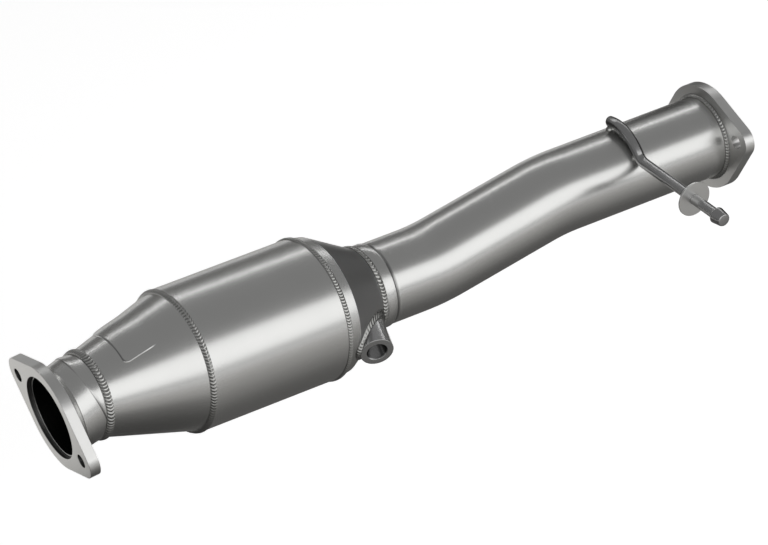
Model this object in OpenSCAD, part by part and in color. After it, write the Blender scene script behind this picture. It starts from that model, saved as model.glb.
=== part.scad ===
// Exhaust downpipe with a converter can: tilted two-bolt inlet flange and neck, cone,
// round can with its catalyst, steep outlet cone with a sensor bung, swaged and offset
// tail pipe with a hanger rod, and a two-bolt outlet flange.
// X runs along the can from inlet to outlet, Z is up.
// The origin is the centre of the inlet flange face. Sizes are in millimetres.

/* [Pipe] */
// Outside diameter of the neck and the tail pipe
pipe_od = 76.3; // [70:0.1:82]
// Wall of the neck and the tail pipe
pipe_wall = 1.8; // [1.6:0.1:2.4]

/* [Flanges] */
// Thickness of both flange plates
flange_t = 10; // [8:0.5:14]
// Width of the flange plates across the middle
flange_width = 99; // [94:0.5:110]
// Radius of the inlet flange ears round each bolt hole
inlet_ear_r = 16.4; // [13:0.1:20]
// Radius of the outlet flange ears round each bolt hole
outlet_ear_r = 15; // [13:0.1:20]
// Diameter of the bolt holes
bolt_hole_d = 12.6; // [9:0.1:14]
// Distance between the two bolt holes of the inlet flange
inlet_bolt_span = 109; // [104:0.5:125]
// Distance between the two bolt holes of the outlet flange
outlet_bolt_span = 105; // [104:0.5:125]
// Rise of the inlet bolt line, in degrees
inlet_bolt_roll = 16; // [-30:0.5:30]
// Rise of the outlet bolt line towards the hanger side, in degrees
outlet_bolt_roll = 20.4; // [-30:0.1:30]
// Downward tilt of the inlet flange face, in degrees
inlet_pitch = 9.4; // [6:0.1:12]
// Sideways turn of the inlet flange face, in degrees
inlet_yaw = 4.3; // [0:0.1:6]
// How far each pipe end stops short of its flange face
pipe_recess = 4; // [2:0.1:5]
// Radial play between the inlet flange bore and the slanted neck
inlet_bore_play = 0.95; // [0.9:0.05:1.6]
// Radial play between the outlet flange bore and the tail pipe
outlet_bore_play = 0.25; // [0.15:0.05:0.5]

/* [Neck] */
// Distance along X from the inlet face to the kink of the neck
neck_run = 33.7; // [30:0.1:45]
// Height of the can axis over the inlet face centre
axis_rise = 8.9; // [7:0.1:11]
// Slant of the kink line in the neck, in degrees
kink_slant = 13; // [9:0.5:15]
// Distance along X from the kink to the weld on the cone
kink_to_weld = 4; // [3:0.1:8]

/* [Converter] */
// Outside diameter of the can
shell_od = 131.4; // [126:0.1:140]
// Wall of the can and the cones
shell_wall = 1.5; // [1.2:0.1:2]
// Length of the can
shell_len = 142.8; // [130:0.5:200]
// Outside diameter of the inlet cone at the neck
cone_small_od = 77.5; // [77.1:0.1:79]
// Length of the inlet cone that shows between the neck and the can
inlet_cone_len = 89.3; // [70:0.1:110]
// Step from the outside of the can down to the inlet cone where it enters
cone_entry_step = 2.25; // [2.1:0.05:4]
// Length of the inlet cone skirt inside the can
skirt_len = 12; // [8:0.5:16]
// Length of the gently tapered lip on the outlet cone
lip_len = 11.8; // [8:0.1:20]
// How much the lip narrows, on the radius, before it turns steep
lip_drop = 2.1; // [1:0.1:4]
// Length of the steep part of the outlet cone
outlet_cone_len = 42; // [34:0.5:55]
// Outside diameter of the collar on the tail pipe
collar_od = 78.4; // [77.9:0.1:80]

/* [Catalyst] */
// Pitch of the square gas channels in the catalyst brick
cell_pitch = 6.2; // [5:0.1:9]
// Wall between two channels
cell_wall = 0.9; // [0.6:0.05:1.4]
// Thickness of the mat between brick and can
mat_t = 3.6; // [2.5:0.1:6]
// Length of the catalyst brick
brick_len = 104; // [80:0.5:108]
// Width of the wire seal at each end of the mat
seal_w = 6; // [4:0.5:8]

/* [Tail pipe] */
// Length of the collar on the tail pipe
collar_len = 14.2; // [10:0.1:22]
// Length of the taper behind the collar
swage_len = 2.4; // [2:0.1:5]
// Distance from the collar end of the tail pipe to the first bend
first_bend_at = 72.9; // [60:0.1:100]
// Height of the tail pipe step
tail_offset = 24.7; // [15:0.1:40]
// Angle of both bends, in degrees
bend_angle = 10.6; // [8:0.1:16]
// Centre-line radius of both bends
bend_r = 190; // [150:1:230]
// Distance from the second bend to the outlet flange
tail_run = 176; // [165:0.5:240]

/* [Sensor bung] */
// Outside diameter of the bung
bung_od = 30.4; // [26:0.1:32]
// Tapping diameter of the thread in the bung
bung_bore_d = 16.4; // [12:0.1:18]
// Chamfer at the mouth of the thread
bung_chamfer = 0.9; // [0.5:0.1:1.2]
// Distance from the can axis to the bung face
bung_reach = 74.4; // [70:0.1:80]
// Where the bung axis crosses the can axis, measured back from the collar weld
bung_back = 6.9; // [5:0.1:9]
// Lean of the bung towards the can, in degrees
bung_lean = 18.4; // [15:0.1:20]
// Drop of the bung below level, in degrees
bung_drop = 13; // [0:0.5:30]

/* [Hanger] */
// Diameter of the hanger rod
rod_d = 10; // [8:0.1:12]
// Distance from the outlet flange back to the hanger rod
hanger_back = 97; // [70:0.5:110]
// Height of the level arm over the tail pipe axis
arm_height = 26; // [22:0.5:30]
// How much wider than the pipe the rod is bent over it, so that its free end lifts off
hump_ease = 4.7; // [0.5:0.1:8]
// Angle of the rod over the pipe, in degrees
hump_sweep = 58.3; // [40:0.1:80]
// Centre-line radius of the bend from the hump to the arm
elbow_r = 12; // [10:0.5:16]
// Reach of the rod end from the tail pipe axis
arm_reach = 156.8; // [140:0.5:200]
// Largest diameter of the rod head
head_d = 15.4; // [13:0.1:20]
// Diameter of the flat end of the rod head
head_end_d = 11.8; // [10:0.1:12.8]
// Length of the rod head
head_len = 13; // [10:0.5:18]
// Distance of the stop washer from the tail pipe axis
washer_reach = 112.6; // [90:0.5:120]
// Outside diameter of the stop washer
washer_od = 33.6; // [28:0.1:40]
// Thickness of the stop washer
washer_t = 2; // [1.5:0.1:3]

/* [Welds] */
// Spacing of the ripples along the weld beads
ripple_pitch = 3.1; // [2.9:0.1:5]
// Depth of the ripples
ripple_depth = 0.45; // [0.2:0.05:0.6]
// Half width of the beads on the can
can_bead_w = 2.4; // [2:0.1:3]
// Rise of the beads on the can
can_bead_h = 1.3; // [1:0.1:2]
// Half width of the beads on the neck and the collar
pipe_bead_w = 2.9; // [2.4:0.1:3.2]
// Rise of the bead on the neck
neck_bead_h = 3; // [2.2:0.1:3.4]
// Rise of the bead on the collar
collar_bead_h = 1.7; // [1.2:0.1:2.4]
// Leg of the fillet beads at the inlet flange and the bung
fillet_leg = 4; // [3:0.1:4.5]
// Leg of the fillet bead at the outlet flange
outlet_fillet_leg = 3; // [2.4:0.1:4.5]
// Diameter of the weld lumps that hold the hanger rod
tack_d = 7; // [6:0.1:10]

/* [Hidden] */

steel = [0.66, 0.66, 0.65];
plate_steel = [0.72, 0.72, 0.71];
bead_steel = [0.55, 0.55, 0.54];
dark_steel = [0.45, 0.45, 0.45];
mat_grey = [0.83, 0.82, 0.78];
brick_tan = [0.75, 0.70, 0.62];

round_fn = 96;
// straight steps round each flange ear and along each of its long sides
ear_steps = 24;
side_steps = 20;
pipe_r = pipe_od / 2;
bore_r = pipe_r - pipe_wall;
shell_r = shell_od / 2;
rod_r = rod_d / 2;
collar_r = collar_od / 2;
flange_mid_r = flange_width / 2;
// gap left between two pieces that are joined edge to edge
joint_gap = 0.3;
// gap left under a weld bead and round a seated piece
seat = 0.12;
// how much slimmer a bend is than the straight length it runs into, and how far it reaches in
join_step = 0.06;
join_lap = 0.3;
// how much slimmer the slanted length of the neck is than its level end
kink_step = 0.15;

// stations along X, counted from the inlet face
neck_weld_x = neck_run + kink_to_weld;
cone_x = neck_weld_x + joint_gap / 2;
shell_x = cone_x + inlet_cone_len;
shell_end_x = shell_x + shell_len;
lip_x = shell_end_x + joint_gap;
steep_x = lip_x + lip_len;
collar_weld_x = steep_x + outlet_cone_len + 1 + joint_gap / 2;
tail_x = collar_weld_x + joint_gap / 2;
bend1_x = tail_x + first_bend_at;
bend2_x = bend1_x + tail_offset / tan(bend_angle);
flange_x = bend2_x + tail_run;
tail_z = axis_rise + tail_offset;

// the inlet flange and the neck
neck_seat = (pipe_recess + flange_t) / 2;
inward = [cos(inlet_pitch) * cos(inlet_yaw), -cos(inlet_pitch) * sin(inlet_yaw), sin(inlet_pitch)];
neck_from = inward * neck_seat;
neck_to = [neck_run, 0, axis_rise];
neck_dir = neck_to - neck_from;
neck_tilt = atan2(neck_dir[2], norm([neck_dir[0], neck_dir[1]]));
neck_turn = atan2(neck_dir[1], neck_dir[0]);
sized_x = neck_weld_x - pipe_bead_w - 0.2;

// the cones
cone_slope = (shell_r - cone_entry_step - cone_small_od / 2) / inlet_cone_len;
skirt_r = shell_r - shell_wall - joint_gap;
skirt_x = cone_x + (skirt_r - cone_small_od / 2) / cone_slope;
lip_end_r = shell_r - lip_drop;
lip_slope = lip_drop / lip_len;
steep_slope = (lip_end_r - collar_r) / outlet_cone_len;

// the catalyst
brick_x = (shell_x + shell_end_x) / 2 + 2;
mat_r = shell_r - shell_wall - seat;
brick_r = mat_r - mat_t;

// the hanger, in the plane across the tail pipe, with the pipe axis at [0, 0]
hanger_x = flange_x - hanger_back;
rod_seat_r = pipe_r + rod_r + seat;
hump_r = rod_seat_r + hump_ease;
elbow_z = arm_height + elbow_r;
elbow_y = -sqrt(pow(rod_seat_r + elbow_r, 2) - pow(elbow_z, 2));
hump_to = atan2(elbow_z, elbow_y);
hump_from = hump_to - hump_sweep;
hump_y = -hump_ease * cos(hump_to);
hump_z = -hump_ease * sin(hump_to);
touch_front = [elbow_y, elbow_z] * (pipe_r / norm([elbow_y, elbow_z]));
free_end = [hump_y + hump_r * cos(hump_from), hump_z + hump_r * sin(hump_from)];
touch_back = free_end * (pipe_r / norm(free_end));

// Outside radius of the inlet cone at x
function inlet_cone_r(x) = min(skirt_r, cone_small_od / 2 + (x - cone_x) * cone_slope);

// Outside radius of the outlet cone and its ends at x
function outlet_cone_r(x) = x < steep_x
    ? min(shell_r, shell_r - (x - lip_x) * lip_slope)
    : max(collar_r, lip_end_r - (x - steep_x) * steep_slope);

// Turn a profile of [radius, x] points about the X axis
module turned(profile) {
    rotate([0, 90, 0])
        rotate_extrude($fn = round_fn)
            polygon(profile);
}

// Round bar along X from x0 to x1
module bar_x(r, x0, x1) {
    translate([x0, 0, 0])
        rotate([0, 90, 0])
            cylinder(r = r, h = x1 - x0, $fn = round_fn);
}

// Open tube along X from x0 to x1
module tube_x(r_out, r_in, x0, x1) {
    turned([[r_in, x0], [r_out, x0], [r_out, x1], [r_in, x1]]);
}

// Rippled ring about the X axis: crest and valley are matching lists of [x, radius]
module ripple_ring(crest, valley, ripples) {
    rings = 2 * ripples;
    side = len(crest);
    points = [for (i = [0 : rings - 1]) let (a = 360 * i / rings, section = i % 2 == 0 ? crest : valley)
        for (p = section) [p[0], p[1] * cos(a), p[1] * sin(a)]];
    faces = [for (i = [0 : rings - 1], j = [0 : side - 1])
        let (k = (i + 1) % rings, m = (j + 1) % side)
        each [[i * side + j, k * side + j, i * side + m], [i * side + m, k * side + j, k * side + m]]];
    polyhedron(points = points, faces = faces);
}

// How many ripples fit round a radius
function ripple_count(r) = round(2 * PI * r / ripple_pitch);

// Points on an arc of radius r about [c, 0], from one angle to another
function arc(c, r, from, to, steps) =
    [for (i = [0 : steps]) let (a = from + (to - from) * i / steps) [c + r * cos(a), r * sin(a)]];

// Outline of a two-bolt flange with straight sides, bolt line along X
module flange_outline(span, ear_r) {
    far = span / 2;
    g = acos((flange_mid_r - ear_r) / far);
    polygon(concat(
        arc(far, ear_r, -g, g, ear_steps),
        arc(0, flange_mid_r, g, 180 - g, side_steps),
        arc(-far, ear_r, 180 - g, 180 + g, ear_steps),
        arc(0, flange_mid_r, 180 + g, 360 - g, side_steps)));
}

// Flange plate: rear face at x = 0, bolt line turned by roll from Y towards Z
module flange_plate(span, ear_r, roll, hole_r) {
    rotate([90, 0, 90])
        rotate([0, 0, roll])
            difference() {
                linear_extrude(flange_t)
                    flange_outline(span, ear_r);
                translate([0, 0, -1])
                    cylinder(r = hole_r, h = flange_t + 2, $fn = round_fn);
                for (s = [-1, 1])
                    translate([s * span / 2, 0, -1])
                        cylinder(d = bolt_hole_d, h = flange_t + 2, $fn = 48);
            }
}

// Frame of the inlet flange: x = 0 is its face, x points into the part
module at_inlet_face() {
    rotate([0, -inlet_pitch, -inlet_yaw])
        children();
}

// Frame of the neck: the axis of its first, slanted length
module along_neck() {
    translate(neck_to)
        rotate([0, -neck_tilt, neck_turn])
            children();
}

module inlet_flange() {
    color(plate_steel)
        at_inlet_face()
            flange_plate(inlet_bolt_span, inlet_ear_r, inlet_bolt_roll, pipe_r + inlet_bore_play);
}

// Fillet bead behind the inlet flange, round the slanted neck
module inlet_flange_weld() {
    foot = flange_t + seat;
    color(bead_steel)
        difference() {
            at_inlet_face()
                turned([[pipe_r - 3, foot], [pipe_r + inlet_bore_play + fillet_leg, foot],
                    [pipe_r + inlet_bore_play + 0.4 * fillet_leg, foot + 0.55 * fillet_leg],
                    [pipe_r + 0.2, foot + 1.1 * fillet_leg], [pipe_r - 3, foot + 1.1 * fillet_leg]]);
            along_neck()
                bar_x(pipe_r + seat, -2 * neck_run, neck_run);
        }
}

// Half space ahead of the kink plane of the neck, as a large block that stops short by lap
module before_kink(lap = 0) {
    size = 4 * pipe_od;
    translate(neck_to)
        rotate([0, -kink_slant, 0])
            translate([-size - lap, -size / 2, -size / 2])
                cube(size);
}

// Slanted first length of the neck at radius r
module neck_first(r) {
    size = 4 * pipe_od;
    intersection() {
        along_neck()
            bar_x(r, -2 * neck_run, neck_run);
        before_kink();
        translate([sized_x - size, -size / 2, -size / 2])
            cube(size);
        at_inlet_face()
            translate([pipe_recess, -size / 2, -size / 2])
                cube(size);
    }
}

// Last length of the neck, in line with the can, at radius r
module neck_last(r) {
    end = neck_weld_x - joint_gap / 2;
    translate([0, 0, axis_rise]) {
        difference() {
            bar_x(r, 0, end);
            translate([0, 0, -axis_rise])
                before_kink(join_lap);
        }
        bar_x(r, sized_x, end);
    }
}

module inlet_neck() {
    color(steel)
        difference() {
            union() {
                neck_first(pipe_r - kink_step);
                neck_last(pipe_r);
            }
            neck_first(bore_r - kink_step);
            neck_last(bore_r);
            translate([0, 0, axis_rise])
                bar_x(bore_r, neck_weld_x - joint_gap, neck_weld_x + 1);
            along_neck()
                bar_x(bore_r - kink_step, -2 * neck_run, -neck_run / 2);
        }
}

module neck_weld() {
    w = pipe_bead_w;
    left = pipe_r + seat;
    edge = cone_small_od / 2 + seat;
    right = inlet_cone_r(neck_weld_x + w) + seat;
    top = max(pipe_r + neck_bead_h, right + neck_bead_h / 2);
    color(bead_steel)
        translate([neck_weld_x, 0, axis_rise])
            ripple_ring(
                [[-w, left], [0, edge], [w, right], [0.65 * w, top - 0.3], [-0.1 * w, top],
                    [-0.75 * w, top - 0.9]],
                [[-w, left], [0, edge], [w, right], [0.8 * w, top - 0.7], [0, top - ripple_depth],
                    [-0.65 * w, top - 0.9 - ripple_depth]],
                ripple_count(top));
}

module inlet_cone() {
    small_r = cone_small_od / 2;
    skirt_end = shell_x + skirt_len;
    color(steel)
        translate([0, 0, axis_rise])
            turned([[small_r - shell_wall, cone_x], [small_r, cone_x], [skirt_r, skirt_x],
                [skirt_r, skirt_end], [skirt_r - shell_wall, skirt_end], [skirt_r - shell_wall, skirt_x]]);
}

module front_shell_weld() {
    w = can_bead_w;
    cone_under = inlet_cone_r(shell_x) + seat;
    foot = inlet_cone_r(shell_x - 1.5 * w) + seat;
    top = shell_r + can_bead_h;
    color(bead_steel)
        translate([shell_x, 0, axis_rise])
            ripple_ring(
                [[-1.5 * w, foot], [-seat, cone_under], [-seat, shell_r + seat], [w, shell_r + seat],
                    [0.2 * w, top], [-0.9 * w, top - 1.2]],
                [[-1.5 * w, foot], [-seat, cone_under], [-seat, shell_r + seat], [w, shell_r + seat],
                    [0.35 * w, top - ripple_depth], [-0.75 * w, top - 1.2 - ripple_depth]],
                ripple_count(top));
}

module converter_shell() {
    color(steel)
        translate([0, 0, axis_rise])
            tube_x(shell_r, shell_r - shell_wall, shell_x, shell_end_x);
}

module mat_seal(x0) {
    color(dark_steel)
        translate([0, 0, axis_rise])
            tube_x(mat_r, brick_r + seat, x0, x0 + seal_w);
}

module front_mat_seal() {
    mat_seal(brick_x - brick_len / 2);
}

module rear_mat_seal() {
    mat_seal(brick_x + brick_len / 2 - seal_w);
}

module support_mat() {
    color(mat_grey)
        translate([0, 0, axis_rise])
            tube_x(mat_r, brick_r + seat, brick_x - brick_len / 2 + seal_w, brick_x + brick_len / 2 - seal_w);
}

// Brick with a square grid of gas channels from end to end
module catalyst_brick() {
    cell = cell_pitch - cell_wall;
    reach = floor(brick_r / cell_pitch);
    color(brick_tan)
        translate([brick_x - brick_len / 2, 0, axis_rise])
            rotate([90, 0, 90])
                linear_extrude(brick_len)
                    difference() {
                        circle(r = brick_r, $fn = round_fn);
                        for (i = [-reach : reach], j = [-reach : reach])
                            if (norm([abs(i) + 0.5, abs(j) + 0.5]) * cell_pitch < brick_r - cell_wall)
                                translate([i * cell_pitch - cell / 2, j * cell_pitch - cell / 2])
                                    square(cell);
                    }
}

module rear_shell_weld() {
    w = can_bead_w;
    foot = shell_r + seat;
    top = shell_r + can_bead_h;
    color(bead_steel)
        translate([(shell_end_x + lip_x) / 2, 0, axis_rise])
            ripple_ring(
                [[-w, foot], [w, foot], [0.6 * w, top - 0.4], [-0.1 * w, top], [-0.7 * w, top - 0.5]],
                [[-w, foot], [w, foot], [0.75 * w, top - 0.7], [0.05 * w, top - ripple_depth],
                    [-0.55 * w, top - 0.5 - ripple_depth]],
                ripple_count(top));
}

// Outside of the outlet cone and the first of the collar, grown by extra, as a solid
module outlet_form(extra) {
    x0 = lip_x - 8;
    x1 = tail_x + collar_len;
    turned([[0, x0], [shell_r + extra, x0], [shell_r + extra, lip_x], [lip_end_r + extra, steep_x],
        [collar_r + extra, steep_x + outlet_cone_len], [collar_r + extra, x1], [0, x1]]);
}

// Frame of the bung: z runs from the can axis out of its mouth
module at_bung() {
    translate([collar_weld_x - bung_back, 0, axis_rise])
        rotate([90 + bung_drop, 0, -bung_lean])
            children();
}

module outlet_cone() {
    end = collar_weld_x - joint_gap / 2;
    steep_end = steep_x + outlet_cone_len;
    in_r = shell_r - shell_wall;
    color(steel)
        difference() {
            translate([0, 0, axis_rise])
                turned([[in_r, lip_x], [shell_r, lip_x], [lip_end_r, steep_x], [collar_r, steep_end],
                    [collar_r, end], [collar_r - shell_wall, end], [collar_r - shell_wall, steep_end],
                    [lip_end_r - shell_wall, steep_x - shell_wall / 2]]);
            at_bung()
                cylinder(r = bung_bore_d / 2 + 0.8, h = bung_reach, $fn = 48);
        }
}

module collar_weld() {
    w = pipe_bead_w;
    left = outlet_cone_r(collar_weld_x - w) + seat;
    right = collar_r + seat;
    top = collar_r + collar_bead_h;
    color(bead_steel)
        translate([collar_weld_x, 0, axis_rise])
            ripple_ring(
                [[-w, left], [w, right], [0.6 * w, top - 0.5], [0, top], [-0.55 * w, top + 0.1]],
                [[-w, left], [w, right], [0.75 * w, top - 0.8], [0.1 * w, top - ripple_depth],
                    [-0.45 * w, top - ripple_depth]],
                ripple_count(top));
}

module sensor_bung() {
    bore = bung_bore_d / 2;
    color(dark_steel)
        difference() {
            at_bung()
                difference() {
                    rotate_extrude($fn = round_fn)
                        polygon([[0, collar_r * 0.6], [bung_od / 2, collar_r * 0.6],
                            [bung_od / 2, bung_reach - 0.6], [bung_od / 2 - 0.6, bung_reach], [0, bung_reach]]);
                    rotate_extrude($fn = round_fn)
                        polygon([[0, collar_r * 0.5], [bore, collar_r * 0.5], [bore, bung_reach - bung_chamfer],
                            [bore + bung_chamfer + 0.1, bung_reach + 0.1], [0, bung_reach + 0.1]]);
                }
            translate([0, 0, axis_rise])
                outlet_form(seat);
        }
}

// Point at radius r and angle a about the bung axis, h above the can axis, can axis at z = 0
function bung_point(r, a, h) =
    let (x = r * cos(a), y0 = r * sin(a), t = 90 + bung_drop,
        y = y0 * cos(t) - h * sin(t), z = y0 * sin(t) + h * cos(t), c = -bung_lean)
    [collar_weld_x - bung_back + x * cos(c) - y * sin(c), x * sin(c) + y * cos(c), z];

// How far a point stands off the outlet form
function off_form(p) = norm([p[1], p[2]]) - outlet_cone_r(p[0]);

// Height along the bung axis where the line at r and a meets the outlet form, by halving
function form_height(r, a, low, high, steps = 22) =
    let (mid = (low + high) / 2)
    steps == 0 ? mid
    : off_form(bung_point(r, a, mid)) > 0 ? form_height(r, a, low, mid, steps - 1)
    : form_height(r, a, mid, high, steps - 1);

// Rippled fillet round the foot of the bung, on the saddle where it meets the cone
module bung_weld() {
    r0 = bung_od / 2 + seat;
    r1 = bung_od / 2 + fillet_leg;
    rings = 2 * round(2 * PI * r1 / ripple_pitch);
    function high_at(r, a) = form_height(r, a, 0, bung_reach) - 3 * seat;
    sections = [for (i = [0 : rings - 1])
        let (a = 360 * i / rings, dip = i % 2 == 0 ? 0 : ripple_depth,
            inner = high_at(r0, a), outer = high_at(r1, a), middle = (inner + outer) / 2)
        [[r0, inner, a], [r1, outer, a],
            [(r0 + r1) / 2 + 0.6 - dip, max(middle + 2.5 - dip, outer + 1.6 - dip), a],
            [r0, inner + fillet_leg + 0.2 - dip, a]]];
    points = [for (s = sections, p = s) bung_point(p[0], p[2], p[1])];
    faces = [for (i = [0 : rings - 1], j = [0 : 3]) let (k = (i + 1) % rings, m = (j + 1) % 4)
        each [[i * 4 + j, i * 4 + m, k * 4 + j], [i * 4 + m, k * 4 + m, k * 4 + j]]];
    color(bead_steel)
        translate([0, 0, axis_rise])
            difference() {
                polyhedron(points = points, faces = faces);
                outlet_form(seat);
                bar_x(collar_r + collar_bead_h + seat, collar_weld_x - pipe_bead_w - seat, tail_x + collar_len);
            }
}

// Solid bend about a centre above or below it: it starts at its own origin along X, is slimmer
// than the straight lengths by the join step and reaches a little way into both of them
module bend_form(side, r) {
    lap = atan(join_lap / bend_r);
    translate([0, 0, side * bend_r])
        rotate([90, 0, 0])
            rotate([0, 0, side > 0 ? -90 - lap : 90 - bend_angle - lap])
                rotate_extrude(angle = bend_angle + 2 * lap, $fn = round_fn)
                    translate([bend_r, 0])
                        circle(r = r - join_step, $fn = round_fn);
}

// Solid form of the whole tail pipe: radius r, and collar radius rc at its collar, from x0 to x1
module tail_form(r, rc, x0, x1) {
    tangent = bend_r * tan(bend_angle / 2);
    slope_len = tail_offset / sin(bend_angle) - 2 * tangent;
    swage_x = tail_x + collar_len;
    translate([0, 0, axis_rise]) {
        turned([[0, x0], [rc, x0], [rc, swage_x], [r, swage_x + swage_len],
            [r, bend1_x - tangent], [0, bend1_x - tangent]]);
        translate([bend1_x - tangent, 0, 0])
            bend_form(1, r);
        translate([bend1_x, 0, 0])
            rotate([0, -bend_angle, 0]) {
                bar_x(r, tangent, tangent + slope_len);
                translate([tangent + slope_len, 0, 0])
                    bend_form(-1, r);
            }
    }
    translate([0, 0, tail_z])
        bar_x(r, bend2_x + tangent, x1);
}

module tail_pipe() {
    end = flange_x + flange_t - pipe_recess;
    color(steel)
        difference() {
            tail_form(pipe_r, collar_r, tail_x, end);
            tail_form(bore_r, collar_r - pipe_wall, tail_x - 1, end + 1);
        }
}

module outlet_flange_weld() {
    w = outlet_fillet_leg;
    foot = pipe_r + seat;
    color(bead_steel)
        translate([flange_x, 0, tail_z])
            ripple_ring(
                [[-w, foot], [-seat, foot], [-seat, foot + w], [-0.55 * w, foot + 0.68 * w]],
                [[-w, foot], [-seat, foot], [-seat, foot + 0.85 * w], [-0.4 * w, foot + 0.5 * w]],
                ripple_count(foot));
}

module outlet_flange() {
    color(plate_steel)
        translate([flange_x, 0, tail_z])
            flange_plate(outlet_bolt_span, outlet_ear_r, -outlet_bolt_roll, pipe_r + outlet_bore_play);
}

// Frame of the hanger: x along Y, y along Z, from the tail pipe axis
module across_tail() {
    translate([hanger_x, 0, tail_z])
        rotate([90, 0, 90])
            children();
}

// Round rod bent about the origin from one angle to another
module rod_arc(r, from, to, thick) {
    rotate([0, 0, from])
        rotate_extrude(angle = to - from, $fn = round_fn)
            translate([r, 0])
                circle(r = thick, $fn = 48);
}

// The bent length of the rod, at a given thickness: the elbow reaches into hump and arm
module rod_bends(thick) {
    lap = atan(join_lap / elbow_r);
    translate([hump_y, hump_z])
        rod_arc(hump_r, hump_from, hump_to, thick);
    translate([elbow_y, elbow_z])
        rod_arc(elbow_r, -90 - lap, hump_to - 180 + lap, thick - join_step);
}

module hanger_rod() {
    neck_len = 1.6;
    arm = arm_reach + elbow_y;
    color(dark_steel)
        across_tail() {
            rod_bends(rod_r);
            translate([elbow_y, arm_height])
                rotate([0, -90, 0])
                    rotate_extrude($fn = round_fn)
                        polygon([[0, 0], [rod_r, 0], [rod_r, arm - head_len],
                            [head_d / 2, arm - head_len + neck_len], [head_d / 2, arm - head_len + 2 * neck_len],
                            [head_end_d / 2, arm], [0, arm]]);
        }
}

module hanger_washer() {
    color(plate_steel)
        across_tail()
            translate([-washer_reach, arm_height])
                rotate([0, -90, 0])
                    difference() {
                        cylinder(d = washer_od, h = washer_t, center = true, $fn = round_fn);
                        cylinder(r = rod_r + seat, h = 2 * washer_t, center = true, $fn = 48);
                    }
}

// Two weld lumps that tie the rod to the tail pipe, at the elbow and at its free end
module hanger_welds() {
    color(bead_steel)
        difference() {
            across_tail()
                for (p = [touch_front, touch_back])
                    translate([p[0], p[1], 0])
                        rotate([0, 0, atan2(p[1], p[0]) - 90])
                            rotate([90, 0, 0])
                                cylinder(r = rod_r + 0.8, h = tack_d, center = true, $fn = 48);
            across_tail()
                rod_bends(rod_r + seat / 2);
            translate([0, 0, tail_z])
                bar_x(pipe_r + seat / 2, hanger_x - 2 * rod_d, hanger_x + 2 * rod_d);
        }
}

inlet_flange();
inlet_flange_weld();
inlet_neck();
neck_weld();
inlet_cone();
front_shell_weld();
converter_shell();
front_mat_seal();
support_mat();
catalyst_brick();
rear_mat_seal();
rear_shell_weld();
outlet_cone();
collar_weld();
sensor_bung();
bung_weld();
tail_pipe();
outlet_flange_weld();
outlet_flange();
hanger_rod();
hanger_washer();
hanger_welds();
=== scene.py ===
# %% [markdown]
# An exhaust downpipe carries hot gas from the engine, through a converter can, to the rest of
# the exhaust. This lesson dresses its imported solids: every tube, cone, plate and bead is made
# again in Blender with finer edges and ripples, and gets the satin steel that such a part has.

import math

import bmesh
import bpy
from mathutils import Matrix, Vector


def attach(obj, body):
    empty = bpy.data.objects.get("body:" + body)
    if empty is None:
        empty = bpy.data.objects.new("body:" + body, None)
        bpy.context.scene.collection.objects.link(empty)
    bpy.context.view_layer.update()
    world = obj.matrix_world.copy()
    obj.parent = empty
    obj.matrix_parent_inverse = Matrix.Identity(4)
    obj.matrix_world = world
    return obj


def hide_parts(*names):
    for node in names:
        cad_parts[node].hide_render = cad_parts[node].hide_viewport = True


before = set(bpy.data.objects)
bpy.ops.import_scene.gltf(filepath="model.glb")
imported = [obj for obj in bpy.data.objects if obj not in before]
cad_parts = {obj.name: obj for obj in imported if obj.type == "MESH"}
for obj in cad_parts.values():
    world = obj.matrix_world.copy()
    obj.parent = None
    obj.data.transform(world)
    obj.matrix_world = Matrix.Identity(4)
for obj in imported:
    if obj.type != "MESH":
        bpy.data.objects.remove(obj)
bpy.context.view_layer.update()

# %% [markdown]
# Sizes are kept in millimetres, as on a drawing, and turned into metres where a mesh is made.
# X runs along the can, Z is up, and the centre of the inlet flange face is the origin.

# %% The sizes of the part
MM = 0.001
PIPE_R = 38.15
PIPE_WALL = 1.8
CAN_R = 65.7
CAN_WALL = 1.5
CAN_AXIS_Z = 8.9
COLLAR_R = 39.2
TAIL_Z = 33.6
NECK_WELD_X = 37.7
CONE_X = 37.85
CONE_SMALL_R = 38.75
CONE_ENTRY_R = 63.45
CAN_X = 127.15
CAN_END_X = 269.95
LIP_X = 270.25
STEEP_X = 282.05
LIP_END_R = 63.6
STEEP_LENGTH = 42.0
STEEP_END_X = STEEP_X + STEEP_LENGTH
COLLAR_WELD_X = 325.2
TAIL_X = 325.35
FLANGE_X = 706.23
FLANGE_T = 10.0
HANGER_X = FLANGE_X - 97.0
print("from face to face:", FLANGE_X + FLANGE_T, "mm; can:", 2 * CAN_R, "mm across")

# %% [markdown]
# Round pieces are turned: a half section is drawn beside the axis and spun round it, as on a
# lathe. A small bevel on the sharp edges catches the light the way a real edge does, and
# weighted normals keep the flat faces flat beside it.

# %% Helpers for making and finishing a piece
def point(x, y, z):
    """A place in millimetres as a vector in metres."""
    return Vector((x, y, z)) * MM


def wire_loop(bm, points, closed=True):
    """A loop of edges through some points, for spinning or extruding."""
    verts = [bm.verts.new(p) for p in points]
    edges = [bm.edges.new(pair) for pair in zip(verts, verts[1:])]
    if closed:
        edges.append(bm.edges.new((verts[-1], verts[0])))
    return verts + edges


def spin_round(bm, geom, centre, axis, steps):
    """Turn a section all the way round an axis and close the seam."""
    bmesh.ops.spin(bm, geom=geom, cent=centre, axis=axis, dvec=(0, 0, 0), angle=2 * math.pi,
                   steps=steps, use_merge=True, use_normal_flip=False, use_duplicate=False)
    bmesh.ops.remove_doubles(bm, verts=bm.verts, dist=1e-7)


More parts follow.
